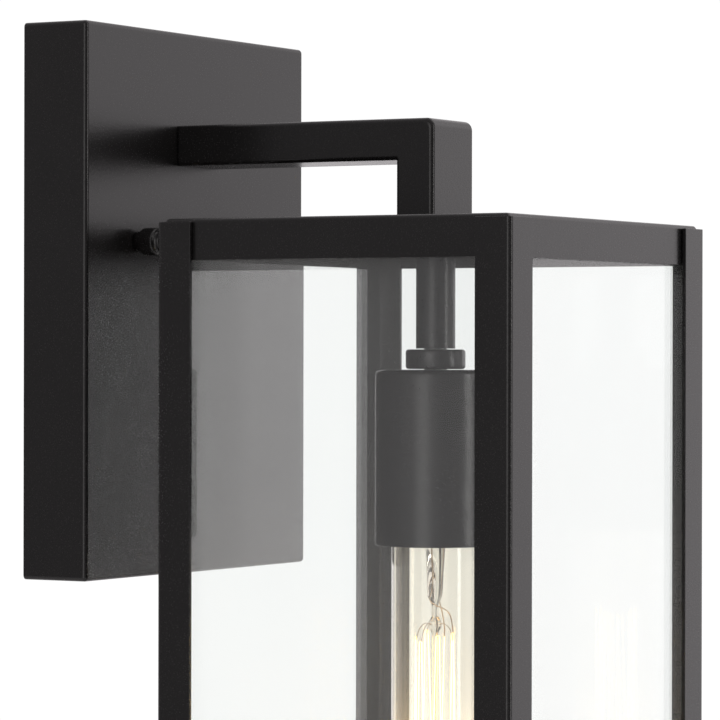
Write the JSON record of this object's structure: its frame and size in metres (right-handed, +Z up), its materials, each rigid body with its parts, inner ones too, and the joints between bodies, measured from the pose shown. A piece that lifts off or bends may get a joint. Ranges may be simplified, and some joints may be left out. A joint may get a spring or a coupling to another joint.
{
  "type": "outdoor wall lantern",
  "caption": "Outdoor wall lantern: a black steel box frame with clear panes and an open bottom, hung from a square arm on a wall plate, with a clear tubular filament bulb.",
  "frame": {"origin": "centre of the mounting bar's back face, on the wall plane", "axes": "+X along the wall, to the right of someone facing it; +Y into the wall; +Z up"},
  "size_m": [0.1524, 0.194, 0.3556],
  "materials": {
    "black_coat": "satin black powder coat with a fine grain",
    "zinc_plate": "zinc-plated steel",
    "clip_steel": "thin spring steel painted black",
    "pane_glass": "clear float glass with polished edges",
    "green_screw": "green dyed zinc",
    "porcelain": "glazed white ceramic",
    "socket_brass": "rolled brass shell",
    "bulb_glass": "clear blown glass",
    "mount_glass": "clear lead glass stem",
    "bulb_cap_metal": "rolled nickel-plated cap",
    "solder": "solder button",
    "black_glass": "black vitrite glass",
    "lead_nickel": "nickel wire",
    "filament_glow": "glowing tungsten coil"
  },
  "bodies": {
    "lantern": {"backplate": "black_coat", "arm_tube": "black_coat", "arm_drop": "black_coat", "drop_end_plate": "black_coat", "roof_pan": "black_coat", "post_front_left": "black_coat", "post_front_right": "black_coat", "post_back_left": "black_coat", "post_back_right": "black_coat", "bottom_rail_front": "black_coat", "bottom_rail_back": "black_coat", "bottom_rail_left": "black_coat", "bottom_rail_right": "black_coat", "stem_tube": "black_coat", "stem_collar": "black_coat", "socket_cup": "black_coat", "mounting_bar": "zinc_plate", "mounting_screw_left": "zinc_plate", "mounting_screw_right": "zinc_plate", "lock_nut_left": "zinc_plate", "lock_nut_right": "zinc_plate", "arm_end_plate": "zinc_plate", "arm_rod": "zinc_plate", "arm_nut": "zinc_plate", "stem_rod": "zinc_plate", "socket_nut": "zinc_plate", "clip_top_front": "clip_steel", "clip_top_back": "clip_steel", "clip_top_left": "clip_steel", "clip_top_right": "clip_steel", "clip_bottom_front": "clip_steel", "clip_bottom_back": "clip_steel", "clip_bottom_left": "clip_steel", "clip_bottom_right": "clip_steel", "glass_front": "pane_glass", "glass_back": "pane_glass", "glass_left": "pane_glass", "glass_right": "pane_glass", "ground_screw": "green_screw", "socket_body": "porcelain", "screw_shell": "socket_brass", "center_contact": "socket_brass"},
    "cap_nut_left": {"cap_nut_left": "black_coat"},
    "cap_nut_right": {"cap_nut_right": "black_coat"},
    "bulb_shell": {"bulb_glass": "bulb_glass", "bulb_cap": "bulb_cap_metal", "bulb_insulator": "black_glass", "bulb_contact": "solder"},
    "bulb_cage": {"bulb_mount": "mount_glass", "bulb_lead_a": "lead_nickel", "bulb_lead_b": "lead_nickel", "upper_support": "lead_nickel", "lower_support": "lead_nickel", "filament": "filament_glow"}
  },
  "joints": [
    {"name": "cap_nut_left_turn", "type": "hinge", "parent": "lantern", "child": "cap_nut_left", "pos_m": [-0.0413, -0.0268, 0], "axis": [0, -1, 0], "continuous": true},
    {"name": "cap_nut_right_turn", "type": "hinge", "parent": "lantern", "child": "cap_nut_right", "pos_m": [0.0413, -0.0268, 0], "axis": [0, -1, 0], "continuous": true},
    {"name": "bulb_travel", "type": "slide", "parent": "lantern", "child": "bulb_shell", "axis": [0, 0, -1], "range_m": [0, 0.0207]},
    {"name": "bulb_turn", "type": "hinge", "parent": "bulb_shell", "child": "bulb_cage", "pos_m": [0, -0.1255, -0.15], "axis": [0, 0, -1], "range_deg": [0, 2056]}
  ],
  "couplings": [
    {"joint": "bulb_turn", "follows": "bulb_travel", "rad_per_m": 1731.4}
  ]
}
